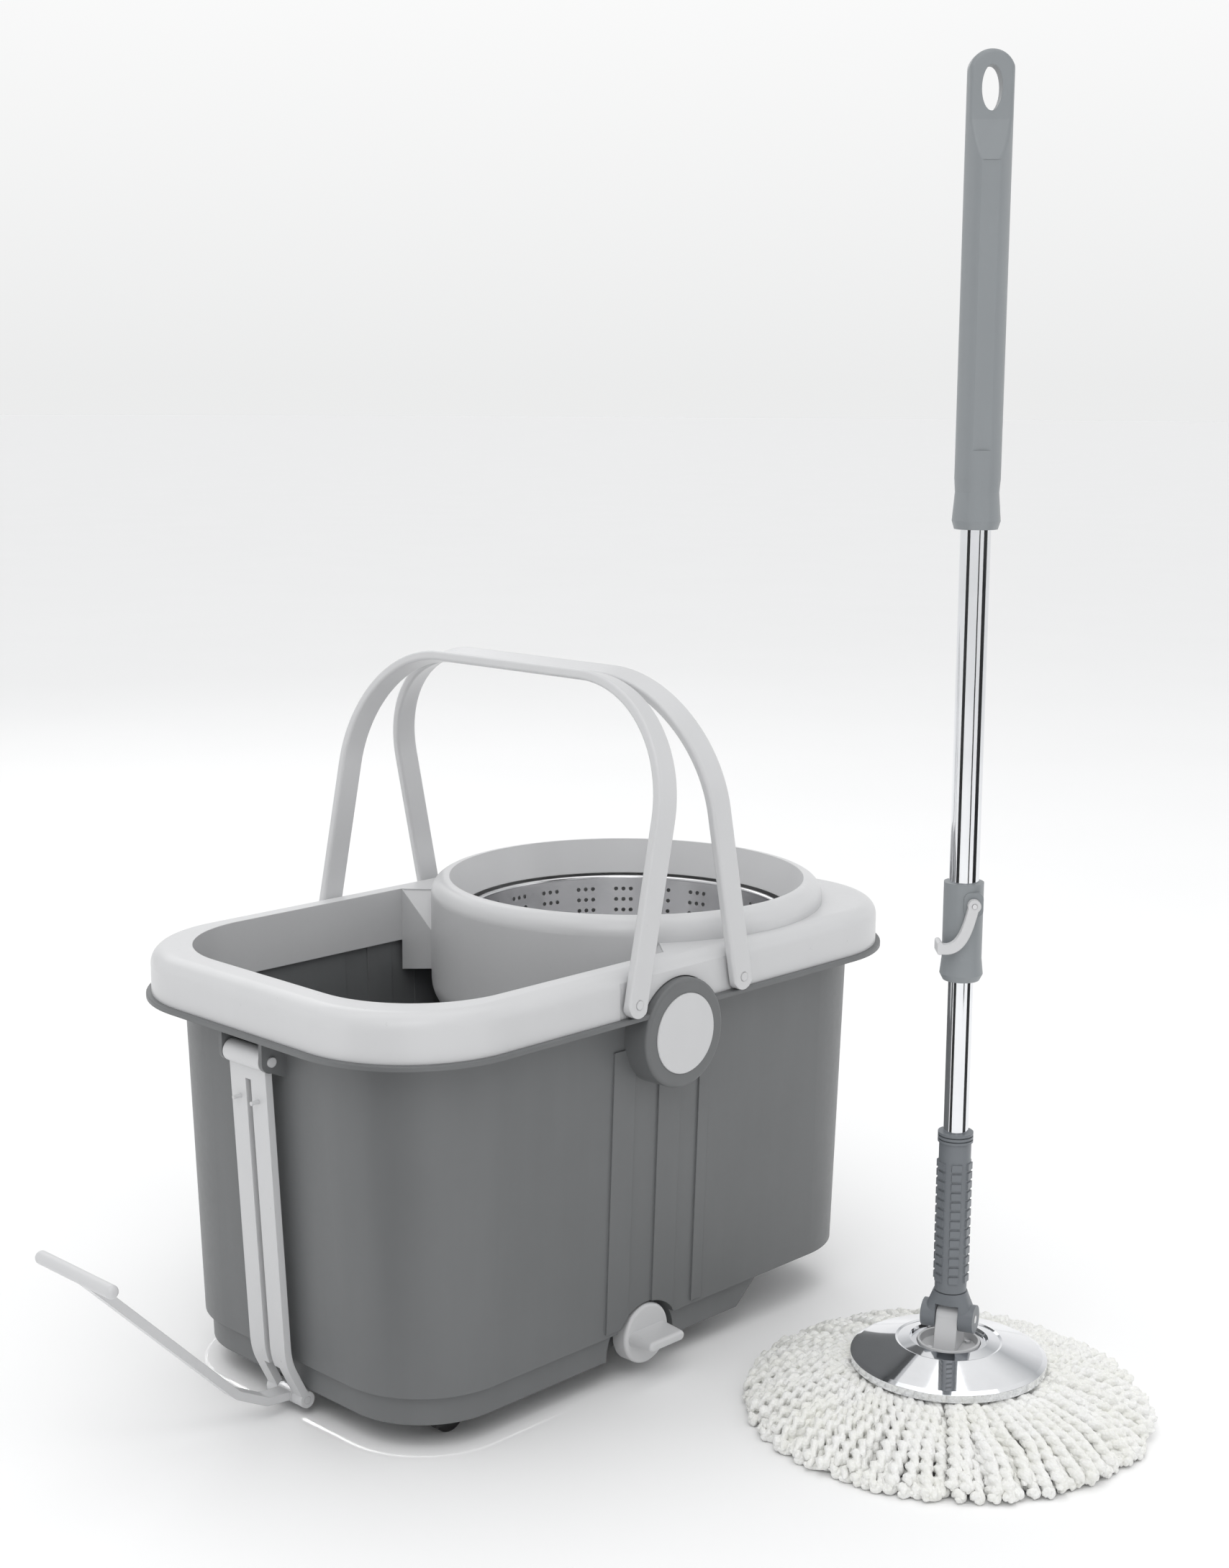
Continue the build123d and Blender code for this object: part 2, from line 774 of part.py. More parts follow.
def drag_handle():
    """White lower link with its T-shaped pull bar."""
    path = [drag_low, *drag_knee, drag_grip_end]
    with BuildPart() as handle:
        add(strip(path, 8, link_thickness + 0.6, drag_shank_width / 2))
        add(cross_rod(drag_low, drag_eye, grip_eye / 2))
        add(cross_rod(drag_grip_end, drag_bar_radius, drag_bar_length / 2))
        ends = handle.edges().filter_by(GeomType.CIRCLE).group_by(Axis.Y)
        fillet(ends[0] + ends[-1], radius=drag_bar_radius - 1)
        add(cross_rod(drag_low, lower_pin_radius + pin_clearance, link_width), mode=Mode.SUBTRACT)
    save(handle, "drag_handle")


# ---------------------------------------------------------------- drain

def drain_plug():
    """White screw plug with a round knob, a grip bar and a shank in the spout."""
    face = alcove_depth + spout_length + seal_thickness
    front = face + knob_thickness
    with BuildPart() as plug:
        add(side_cylinder(drain_x, drain_z, knob_radius, face, front, -1))
        fillet(plug.edges().filter_by(GeomType.CIRCLE).sort_by(Axis.Y)[0], radius=2.5)
        with BuildSketch(Plane(origin=(drain_x, -front + 1, drain_z), x_dir=(1, 0, 0), z_dir=(0, -1, 0))):
            SlotOverall(knob_bar_length, knob_bar_width)
        extrude(amount=knob_bar_height, taper=5)
        fillet(plug.edges().group_by(Axis.Y)[0], radius=2.4)
        shank = drain_bore - thread_clearance
        add(side_cylinder(drain_x, drain_z, shank, alcove_depth - wall, face + 1, -1))
    save(plug, "drain_plug")


def drain_seal():
    """Rubber washer between the knob and the spout."""
    mouth = alcove_depth + spout_length
    with BuildPart() as seal:
        add(side_cylinder(drain_x, drain_z, spout_radius + 1, mouth, mouth + seal_thickness, -1))
        add(side_cylinder(drain_x, drain_z, drain_bore + 0.1, 0, beyond, -1), mode=Mode.SUBTRACT)
    save(seal, "drain_seal")


# ---------------------------------------------------------------- casters

def caster(name, x, y):
    """Swivel caster under the floor: hood, steel stem, wheel and axle."""
    axle_x = x - wheel_trail
    cheek = wheel_width / 2 + wheel_gap
    outer = cheek + hood_wall
    hood_radius = wheel_radius + wheel_gap + hood_wall
    hood_top = pocket_roof - 0.6
    side_view = Plane(origin=(axle_x, y, wheel_radius), x_dir=(1, 0, 0), z_dir=(0, -1, 0))
    with BuildPart() as hood:
        with BuildSketch(side_view):
            Circle(hood_radius)
            with Locations((0, -hood_radius)):
                Rectangle(2 * hood_radius, 2 * (hood_radius - axle_radius - 2), mode=Mode.SUBTRACT)
        extrude(amount=outer, both=True)
        add(vertical_rod(x, y, 9, wheel_radius + 4, hood_top))
        with BuildSketch(side_view):
            Circle(wheel_radius + wheel_gap)
        extrude(amount=cheek, both=True, mode=Mode.SUBTRACT)
        with Locations((axle_x, y, 0)):
            Box(2 * wheel_radius, 2 * cheek, 2 * wheel_radius, mode=Mode.SUBTRACT)
        add(vertical_rod(x, y, stem_radius, hood_top - 5, beyond), mode=Mode.SUBTRACT)
        with Locations((axle_x, y, wheel_radius)):
            Cylinder(axle_radius, 4 * outer, rotation=(90, 0, 0), mode=Mode.SUBTRACT)
    save(hood, f"caster_hood_{name}")
    with BuildPart() as stem:
        add(vertical_rod(x, y, stem_radius, hood_top - 5, stem_top))
    save(stem, f"caster_stem_{name}")
    with BuildPart() as axle:
        with Locations((axle_x, y, wheel_radius)):
            Cylinder(axle_radius, 2 * outer, rotation=(90, 0, 0))
    save(axle, f"caster_axle_{name}")
    with BuildPart() as wheel:
        with Locations((axle_x, y, wheel_radius)):
            Cylinder(wheel_radius, wheel_width, rotation=(90, 0, 0))
            fillet(wheel.edges().filter_by(GeomType.CIRCLE), radius=1.5)
            Cylinder(axle_radius + shaft_clearance, 2 * outer, rotation=(90, 0, 0), mode=Mode.SUBTRACT)
    save(wheel, f"caster_wheel_{name}")


# ---------------------------------------------------------------- mop head

def direction(angle):
    """Unit vector in plan."""
    return Vector(cos(radians(angle)), sin(radians(angle)), 0)


pin_dir = direction(fork_angle)
lever_out = direction(face_angle)
lever_right = direction(face_angle + 90)
mop_axis = Axis((mop_x, mop_y, 0), (0, 0, 1))


def mop_turned(name, outline):
    """Write a solid turned about the mop's axis."""
    turned(name, mop_x, mop_y, outline)


def along_pin(height, radius, near, far):
    """Cylinder along the fork pin's line, between two distances from the mop's axis."""
    start = Vector(mop_x, mop_y, height) + pin_dir * near
    with BuildPart() as rod:
        with BuildSketch(Plane(origin=start, x_dir=(0, 0, 1), z_dir=pin_dir)):
            Circle(radius)
        extrude(amount=far - near)
    return rod.part


def strand_skirt():
    """Soft ring of strands as one closed solid, flat on the floor."""
    outline = [
        (0, 0),
        (strand_radius, 0),
        (strand_radius, strand_edge_z - 4),
        (strand_radius - 3, strand_edge_z),
        (strand_radius - 30, cover_rim_z - 8),
        (cover_radius + 10, cover_rim_z - 1),
        (plate_radius + 1, cover_rim_z - 1),
        (plate_radius + 1, plate_bottom - 2.3),
        (0, plate_bottom - 2.3),
    ]
    mop_turned("strand_skirt", outline)


def strand_ring():
    """White ring that the strands are stitched to, snapped under the plate."""
    low = plate_bottom - 2
    inner = plate_radius - 12
    outline = [(inner, low), (plate_radius, low), (plate_radius, low + 2), (inner, low + 2)]
    mop_turned("strand_ring", outline)


def mop_plate():
    """White plate under the chrome cover."""
    deck = cover_rim_z - 0.2
    outline = [
        (0, plate_bottom),
        (plate_radius, plate_bottom),
        (plate_radius, deck),
        (hub_seat_radius + 14, deck + 8),
        (hub_seat_radius, deck + 8),
        (0, deck + 8),
    ]
    mop_turned("mop_plate", outline)


def head_cover():
    """Chrome dished cover with a rolled rim, a raised crease ring and a step round the hub."""
    t = 1.2
    rim = cover_rim_z
    outline = [
        (cover_radius - 2, rim),
        (cover_radius, rim),
        (cover_radius, rim + 5),
        (cover_radius - 3, rim + 6.5),
        (hub_seat_radius + 14, rim + 15),
        (hub_seat_radius + 12.5, rim + 14.4),
        (hub_seat_radius + 5, rim + 16),
        (hub_seat_radius + 4, rim + 13.5),
        (hub_seat_radius + 0.4, rim + 13.5),
        (hub_seat_radius + 0.4, rim + 8),
        (hub_seat_radius + 14, rim + 8.2),
        (cover_radius - 3, rim + 3),
        (cover_radius - 2, rim + 2),
    ]
    mop_turned("head_cover", outline)


def pivot_hub():
    """White hub: a dished seat on the plate with a tapered post between the fork's ears."""
    seat = cover_rim_z - 0.2 + 8
    floor = seat + 2.5
    post = fork_gap / 2 - 0.4
    with BuildPart() as hub:
        outline = [
            (0, seat),
            (hub_seat_radius, seat),
            (hub_seat_radius, floor + 4.5),
            (hub_seat_radius - 1.6, floor + 4.5),
            (hub_seat_radius - 2.4, floor),
            (0, floor),
        ]
        revolve(straight_face(upright_plane(mop_x, mop_y), outline), axis=mop_axis)
        side_view = Plane(origin=(mop_x, mop_y, 0), x_dir=pin_dir.cross(Vector(0, 0, -1)), z_dir=pin_dir)
        with BuildSketch(side_view):
            with BuildLine():
                flip = -1 if side_view.y_dir.Z < 0 else 1
                Polyline(
                    (-11, flip * floor),
                    (11, flip * floor),
                    (7, flip * hub_pin_z),
                    (-7, flip * hub_pin_z),
                    close=True,
                )
            make_face()
            with Locations((0, flip * hub_pin_z)):
                Circle(7)
        extrude(amount=post, both=True)
        hole = fork_pin_radius + shaft_clearance
        add(along_pin(hub_pin_z, hole, -fork_width, fork_width), mode=Mode.SUBTRACT)
    save(hub, "pivot_hub")


def hub_screws():
    """Screws that hold the hub to the plate."""
    floor = cover_rim_z - 0.2 + 8 + 2.5
    with BuildPart() as screws:
        with Locations((mop_x, mop_y, floor + 0.7)):
            with PolarLocations(14.2, 4, start_angle=fork_angle + 45):
                Cylinder(2.2, 1.4)
    save(screws, "hub_screws")


# ---------------------------------------------------------------- mop shaft

def mop_fork():
    """Grey fork: two round ears either side of the hub and a collar round the sleeve's foot."""
    with BuildPart() as fork:
        add(along_pin(hub_pin_z, fork_ear, -fork_width / 2, fork_width / 2))
        with BuildSketch(Plane.XY.offset(hub_pin_z + 1)):
            with Locations(Location((mop_x, mop_y, 0), (0, 0, fork_angle))):
                RectangleRounded(fork_width, 2 * fork_ear - 2, 5)
        with BuildSketch(Plane.XY.offset(sleeve_bottom - 0.5)):
            with Locations((mop_x, mop_y)):
                Circle(sleeve_radius)
        loft()
        with BuildSketch(Plane(origin=(mop_x, mop_y, 0), x_dir=pin_dir, z_dir=(0, 0, 1))):
            Rectangle(fork_gap, 4 * fork_ear)
        extrude(amount=hub_pin_z + 9.5, mode=Mode.SUBTRACT)
        add(vertical_rod(mop_x, mop_y, lower_tube_radius, hub_pin_z + 12.5, beyond), mode=Mode.SUBTRACT)
        add(along_pin(hub_pin_z, fork_pin_radius, -fork_width, fork_width), mode=Mode.SUBTRACT)
    save(fork, "mop_fork")


def fork_pin():
    """Steel pin through the fork's ears and the hub's post."""
    with BuildPart() as pin:
        add(along_pin(hub_pin_z, fork_pin_radius, -fork_width / 2, fork_width / 2))
    save(pin, "fork_pin")


def lower_sleeve():
    """Grey grip sleeve on the lower tube: rings at the top and rows of raised pads."""
    pad_rows = 13
    pad_pitch = 6.2
    pad_low = sleeve_bottom + 9
    with BuildPart() as sleeve:
        add(vertical_rod(mop_x, mop_y, sleeve_radius - 0.6, sleeve_bottom, sleeve_top - 1))
        for ring in range(3):
            high = sleeve_top - 2.4 * ring
            add(vertical_rod(mop_x, mop_y, sleeve_radius + 0.4, high - 1.6, high))
        for row in range(pad_rows):
            with Locations((mop_x, mop_y, pad_low + row * pad_pitch)):
                with PolarLocations(sleeve_radius - 1.2, 6, start_angle=face_angle):
                    Box(2.6, 6.4, 4.6)
        add(vertical_rod(mop_x, mop_y, lower_tube_radius, 0, beyond), mode=Mode.SUBTRACT)
    save(sleeve, "lower_sleeve")


def tube(name, radius, thickness, low, high):
    """Write a round tube on the mop's axis."""
    outline = [(radius - thickness, low), (radius, low), (radius, high), (radius - thickness, high)]
    mop_turned(name, outline)


def twisted_bar(width, thickness, low, high):
    """Flat bar twisted about the mop's axis at the rod's pitch, in phase with the rod."""
    turns = 360 * (high - low) / rod_pitch
    phase = 360 * (low - rod_bottom) / rod_pitch
    with BuildSketch(Plane.XY) as section:
        Rectangle(width, thickness)
    centre = Vector(mop_x, mop_y, low)
    return Solid.extrude_linear_with_rotation(
        section.face().rotate(Axis.Z, phase).moved(Location(centre)), centre, Vector(0, 0, high - low), turns
    )


rod_top = upper_tube_top - 40
nut_low = lower_tube_top
bush_top = nut_low + nut_thickness + 4
nut_radius = upper_tube_radius - upper_tube_wall - 2.4


def spiral_rod():
    """Twisted steel rod fixed in the upper tube, driving the nut as the pole is pressed."""
    with BuildPart() as rod:
        add(twisted_bar(rod_width, rod_thickness, rod_bottom, rod_top))
    save(rod, "spiral_rod")


def rod_anchor():
    """Plug in the upper tube that holds the twisted rod's top."""
    outer = upper_tube_radius - upper_tube_wall
    mop_turned("rod_anchor", [(0, rod_top), (outer, rod_top), (outer, rod_top + 12), (0, rod_top + 12)])


def guide_bush():
    """Bush on the lower tube's top that slides in the upper tube and carries the nut."""
    outer = upper_tube_radius - upper_tube_wall - 0.1
    bore = nut_radius + 0.3
    rod_hole = rod_width / 2 + 0.8
    outline = [
        (rod_hole, nut_low),
        (outer, nut_low),
        (outer, bush_top + 2),
        (rod_hole, bush_top + 2),
        (rod_hole, bush_top),
        (bore, bush_top),
        (bore, nut_low + 2),
        (rod_hole, nut_low + 2),
    ]
    mop_turned("guide_bush", outline)


def drive_nut():
    """Nut with a slot that follows the rod's twist."""
    low = nut_low + 2 + slide_gap
    high = low + nut_thickness
    slot_gap = 2 * slide_gap + 0.2
    with BuildPart() as nut:
        add(vertical_rod(mop_x, mop_y, nut_radius, low, high))
        slot = twisted_bar(rod_width + slot_gap, rod_thickness + slot_gap, low - 1, high + 1)
        add(slot, mode=Mode.SUBTRACT)
    save(nut, "drive_nut")


# ---------------------------------------------------------------- mop handle

def lock_collar():
    """Grey collar on the upper tube's foot, with a raised boss under the lock lever."""
    across, pivot_height = lever_pivot
    bore = lower_tube_radius + slide_gap
    outline = [
        (bore, collar_bottom),
        (collar_flare - 2, collar_bottom),
        (collar_flare, collar_bottom + 4),
        (collar_radius, collar_bottom + 14),
        (collar_radius, collar_top),
        (upper_tube_radius, collar_top),
        (upper_tube_radius, upper_tube_bottom),
        (bore, upper_tube_bottom),
    ]
    seat = Vector(mop_x, mop_y, pivot_height) + lever_right * across
    with BuildPart() as collar:
        revolve(straight_face(upright_plane(mop_x, mop_y), outline), axis=mop_axis)
        with BuildSketch(Plane(origin=seat + lever_out * 8, x_dir=lever_right, z_dir=lever_out)):
            RectangleRounded(12, 15, 4)
        extrude(amount=collar_radius + 0.6 - 8)
        add(vertical_rod(mop_x, mop_y, upper_tube_radius, upper_tube_bottom, beyond), mode=Mode.SUBTRACT)
        with BuildSketch(Plane(origin=seat, x_dir=lever_right, z_dir=lever_out)):
            Circle(1.6)
        extrude(amount=beyond, mode=Mode.SUBTRACT)
        tube_seat = upper_tube_radius - 0.01
        add(vertical_rod(mop_x, mop_y, tube_seat, upper_tube_bottom, beyond), mode=Mode.SUBTRACT)
    save(collar, "lock_collar")


def lock_lever():
    """White curved cam lever: a plate on the collar's face with a tip that hooks round its side."""
    across, height = lever_pivot
    seat = Vector(mop_x, mop_y, 0) + lever_out * (collar_radius + 1)
    face = Plane(origin=seat, x_dir=lever_right, z_dir=lever_out)
    path = [(across, height), (0.5, 322), (-7, 310.5), (-16.5, 309.5)]
    with BuildPart() as lever:
        with BuildSketch(face):
            with BuildLine():
                Spline(*path)
            trace(line_width=lever_width)
            with Locations((across, height)):
                Circle(lever_width / 2 + 0.8)
        extrude(amount=lever_thickness)
        with BuildSketch(face):
            with Locations((-16, 309.5)):
                RectangleRounded(3.4, lever_width + 1.5, 1.5)
        extrude(amount=lever_thickness)
        with BuildSketch(face):
            with Locations((-16, 309.5)):
                RectangleRounded(3.4, lever_width + 1.5, 1.5)
        extrude(amount=-9)
        with BuildSketch(face):
            with Locations((across, height)):
                Circle(1.5 + shaft_clearance)
        extrude(amount=beyond, both=True, mode=Mode.SUBTRACT)
    save(lever, "lock_lever")


def lever_pin():
    """Pin in the collar that the lock lever turns on."""
    across, height = lever_pivot
    seat = Vector(mop_x, mop_y, height) + lever_right * across + lever_out * (upper_tube_radius + 0.5)
    length = collar_radius + 1 + lever_thickness - upper_tube_radius
    with BuildPart() as pin:
        with BuildSketch(Plane(origin=seat, x_dir=lever_right, z_dir=lever_out)):
            Circle(1.5)
        extrude(amount=length)
    save(pin, "lever_pin")


def grip():
    """Grey hand grip: flared foot, round body with flat panels, flattened top with a hang hole."""
    middle = Vector(mop_x, mop_y, 0)
    with BuildPart() as handle:
        outline = [
            (0, grip_bottom),
            (grip_flare - 1.5, grip_bottom),
            (grip_flare, grip_bottom + 5),
            (grip_radius - 0.6, grip_bottom + 22),
            (grip_radius, grip_bottom + 30),
            (grip_radius, grip_top - 60),
            (grip_radius, grip_top),
            (0, grip_top),
        ]
        revolve(straight_face(upright_plane(mop_x, mop_y), outline), axis=mop_axis)
        face = Plane(origin=middle, x_dir=lever_right, z_dir=lever_out)
        with BuildSketch(face):
            with Locations((0, (grip_bottom + grip_top) / 2 - grip_radius)):
                Rectangle(2 * grip_flare + 2, grip_top - grip_bottom)
            with Locations((0, grip_top - grip_radius)):
                Circle(grip_radius)
        extrude(amount=beyond, both=True, mode=Mode.INTERSECT)
        side_view = Plane(origin=middle, x_dir=lever_out, z_dir=-lever_right)
        with BuildSketch(side_view):
            with BuildLine():
                Polyline(
                    (grip_flare + 2, grip_top - 66),
                    (grip_radius, grip_top - 66),
                    (grip_flat, grip_top - 40),
                    (grip_flat - 1, grip_top + 1),
                    (grip_flare + 2, grip_top + 1),
                    close=True,
                )
            make_face()
            mirror(about=Plane.YZ)
        extrude(amount=beyond, both=True, mode=Mode.SUBTRACT)
        with BuildSketch(face):
            with Locations((0, hang_hole_z)):
                Ellipse(hang_hole_width / 2, hang_hole_height / 2)
        extrude(amount=beyond, both=True, mode=Mode.SUBTRACT)
        fillet(handle.edges().filter_by(GeomType.ELLIPSE), radius=2.5)
        for side in (-1, 1):
            panel_middle = middle + lever_out * side * (grip_radius - 1.1)
            with BuildSketch(Plane(origin=panel_middle, x_dir=lever_right, z_dir=lever_out * side)):
                with Locations((0, (grip_bottom + grip_top) / 2 - 8)):
                    RectangleRounded(2 * grip_radius - 5, grip_top - grip_bottom - 110, 4)
            extrude(amount=5, mode=Mode.SUBTRACT)
        add(vertical_rod(mop_x, mop_y, upper_tube_radius, 0, upper_tube_top), mode=Mode.SUBTRACT)
    save(handle, "grip")


bucket_body()
boss_caps()
splash_cover()
spindle_bearing()
basket_spindle()
basket_hub()
basket()
basket_screws()
handle_pins()
carry_handle("carry_handle_left", left_pivot_x, 1)
carry_handle("carry_handle_right", right_pivot_x, -1)
drag_pin_upper()
drag_link_upper()
drag_pin_lower()
drag_handle()
drain_plug()
drain_seal()
for end, caster_x in zip(("left", "right"), caster_xs):
    caster(f"front_{end}", caster_x, -caster_y)
    caster(f"rear_{end}", caster_x, caster_y)
strand_skirt()
strand_ring()
mop_plate()
head_cover()
pivot_hub()
hub_screws()
mop_fork()
fork_pin()
lower_sleeve()
tube("lower_tube", lower_tube_radius, lower_tube_wall, hub_pin_z + 12.5, lower_tube_top)
tube("upper_tube", upper_tube_radius, upper_tube_wall, upper_tube_bottom, upper_tube_top)
spiral_rod()
rod_anchor()
guide_bush()
drive_nut()
lock_collar()
lock_lever()
lever_pin()
grip()
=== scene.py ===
import json
import math

import bpy
import numpy as np
from mathutils import Matrix, Vector

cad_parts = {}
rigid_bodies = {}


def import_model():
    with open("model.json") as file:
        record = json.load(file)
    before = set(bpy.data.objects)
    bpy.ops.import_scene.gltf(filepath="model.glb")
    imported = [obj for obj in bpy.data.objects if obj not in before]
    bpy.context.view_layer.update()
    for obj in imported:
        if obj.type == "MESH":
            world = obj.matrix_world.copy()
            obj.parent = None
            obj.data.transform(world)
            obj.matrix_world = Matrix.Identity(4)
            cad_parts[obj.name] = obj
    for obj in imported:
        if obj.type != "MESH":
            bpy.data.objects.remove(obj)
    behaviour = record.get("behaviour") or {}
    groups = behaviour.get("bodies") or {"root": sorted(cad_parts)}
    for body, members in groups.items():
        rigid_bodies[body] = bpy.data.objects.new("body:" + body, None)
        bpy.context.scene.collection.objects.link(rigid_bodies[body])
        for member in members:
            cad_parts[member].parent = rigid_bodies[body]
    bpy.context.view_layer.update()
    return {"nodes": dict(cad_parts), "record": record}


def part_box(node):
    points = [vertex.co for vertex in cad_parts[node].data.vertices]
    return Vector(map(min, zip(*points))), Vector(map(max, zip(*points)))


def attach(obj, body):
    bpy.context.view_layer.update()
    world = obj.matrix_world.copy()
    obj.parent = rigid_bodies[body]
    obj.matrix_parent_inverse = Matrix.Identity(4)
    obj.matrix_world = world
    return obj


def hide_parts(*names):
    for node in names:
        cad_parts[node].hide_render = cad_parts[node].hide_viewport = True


for leftover in list(bpy.data.objects):
    bpy.data.objects.remove(leftover)

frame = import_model()

MM = 0.001
SEED = 7

# Camera
CAMERA_PLACE = (-1.0484, -1.0995, 0.6518)
CAMERA_TURN = math.radians(-45.8)
CAMERA_DIP = math.radians(10.1)
CAMERA_ROLL = math.radians(0.33)
CAMERA_LENS = 52.05

# Strands of the mop head
STRAND_LAYERS = (68, 78, 88)      # strands in each layer, top layer first
LAYER_DROP = 5.0 * MM             # one layer lies this far under the one above
STRAND_START = 50 * MM            # under the cover, so no strand shows its inner end
STRAND_SPREAD = 7 * MM            # ends differ in length by this much
PLY_RADIUS = 3.0 * MM
PLY_OFFSET = 1.5 * MM             # each of a strand's two plies runs this far off its centre
TWIST_PITCH = 17 * MM
RING_STEP = 1.25 * MM
PLY_SIDES = 10
LUMP_SIZE = 0.22                  # share of a ply's radius
LUMP_NOISE = 0.035
TUFT_NOISE = 0.085

# Studio floor
FLOOR_RADIUS = 40
FLOOR_DEPTH = 0.2 * MM            # under the wheels, so the two surfaces don't meet
FLOOR_SIDES = 96
FLAG_HEIGHT = 1.6


# ---------------------------------------------------------------- materials

def add(tree, kind, settings=None, **sockets):
    """A shader node with its settings and sockets. A socket given an output is linked to it."""
    item = tree.nodes.new("ShaderNode" + kind)
    for name, value in (settings or {}).items():
        setattr(item, name, value)
    for name, value in sockets.items():
        socket = item.inputs[name.replace("_", " ")]
        if isinstance(value, bpy.types.NodeSocket):
            tree.links.new(value, socket)
        else:
            socket.default_value = value
    return item


def start_material(name):
    material = bpy.data.materials.new(name)
    material.use_nodes = True
    tree = material.node_tree
    tree.nodes.clear()
    place = add(tree, "TexCoord").outputs["Object"]
    return material, tree, place


def finish_material(tree, colour, roughness, normal, **constants):
    """The shader itself. Its constants are set on its own sockets."""
    shader = add(tree, "BsdfPrincipled", None, Base_Color=colour, Roughness=roughness,
                 Normal=normal, **constants)
    output = add(tree, "OutputMaterial")
    tree.links.new(shader.outputs["BSDF"], output.inputs["Surface"])


def ramp(tree, factor, stops):
    """Colours along a 0 to 1 factor, given as (place, colour)."""
    item = add(tree, "ValToRGB", None, Fac=factor)
    elements = item.color_ramp.elements
    elements[0].position, elements[0].color = stops[0]
    elements[1].position, elements[1].color = stops[-1]
    for place, colour in stops[1:-1]:
        elements.new(place).color = colour
    return item.outputs["Color"]


def spread(tree, factor, low, high):
    item = add(tree, "MapRange", None, Value=factor, To_Min=low, To_Max=high)
    return item.outputs["Result"]


def shade(colour, amount):
    return (colour[0] * amount, colour[1] * amount, colour[2] * amount, 1)


def plastic(name, colour, roughness, grain=0.05, streak=0.06, edge=0.5, bump_scale=1500):
    """Moulded plastic: cloudy pigment, flow streaks up the wall, fine texture and softened edges."""
    material, tree, place = start_material(name)
    cloud = add(tree, "TexNoise", None, Vector=place, Scale=11.0, Detail=4.0, Roughness=0.6).outputs["Fac"]
    stretched = add(tree, "Mapping", None, Vector=place, Scale=(1.0, 1.0, 0.12)).outputs["Vector"]
    flow = add(tree, "TexNoise", None, Vector=stretched, Scale=45.0, Detail=3.0,
               Roughness=0.55).outputs["Fac"]
    scuffs = add(tree, "TexNoise", None, Vector=place, Scale=190.0, Detail=5.0, Roughness=0.7).outputs["Fac"]
    both = add(tree, "Math", {"operation": "ADD"}).outputs["Value"]
    tree.links.new(cloud, both.node.inputs[0])
    tree.links.new(flow, both.node.inputs[1])
    half = add(tree, "Math", {"operation": "MULTIPLY"}).outputs["Value"]
    tree.links.new(both, half.node.inputs[0])
    half.node.inputs[1].default_value = 0.5
    base = ramp(tree, half, [(0.32, shade(colour, 1 - streak)), (0.5, shade(colour, 1.0)),
                             (0.68, shade(colour, 1 + streak))])
    rough = spread(tree, scuffs, roughness - 0.08, roughness + 0.1)
    rounded = add(tree, "Bevel", {"samples": 4}, Radius=edge * MM).outputs["Normal"]
    fine = add(tree, "TexNoise", None, Vector=place, Scale=float(bump_scale), Detail=2.0,
               Roughness=0.6).outputs["Fac"]
    bumped = add(tree, "Bump", None, Strength=grain, Distance=0.3 * MM, Height=fine,
                 Normal=rounded).outputs["Normal"]
    wavy = add(tree, "Bump", None, Strength=0.05, Distance=1.5 * MM, Height=cloud,
               Normal=bumped).outputs["Normal"]
    finish_material(tree, base, rough, wavy, IOR=1.49)
    return material


def metal(name, colour, roughness, brush=0.0, along=(1, 1, 14), smudge=0.08, scale=160.0):
    """Polished or brushed metal, with smudges that dull it a little."""
    material, tree, place = start_material(name)
    smudges = add(tree, "TexNoise", None, Vector=place, Scale=38.0, Detail=5.0, Roughness=0.65).outputs["Fac"]
    stretched = add(tree, "Mapping", None, Vector=place, Scale=along).outputs["Vector"]
    lines = add(tree, "TexNoise", None, Vector=stretched, Scale=scale, Detail=4.0,
                Roughness=0.7).outputs["Fac"]
    base = ramp(tree, smudges, [(0.3, shade(colour, 0.94)), (0.7, shade(colour, 1.0))])
    rough = spread(tree, smudges, max(0.02, roughness - smudge / 2), roughness + smudge)
    rounded = add(tree, "Bevel", {"samples": 4}, Radius=0.3 * MM).outputs["Normal"]
    bumped = add(tree, "Bump", None, Strength=brush, Distance=0.05 * MM, Height=lines,
                 Normal=rounded).outputs["Normal"]
    finish_material(tree, base, rough, bumped, Metallic=1.0)
    return material


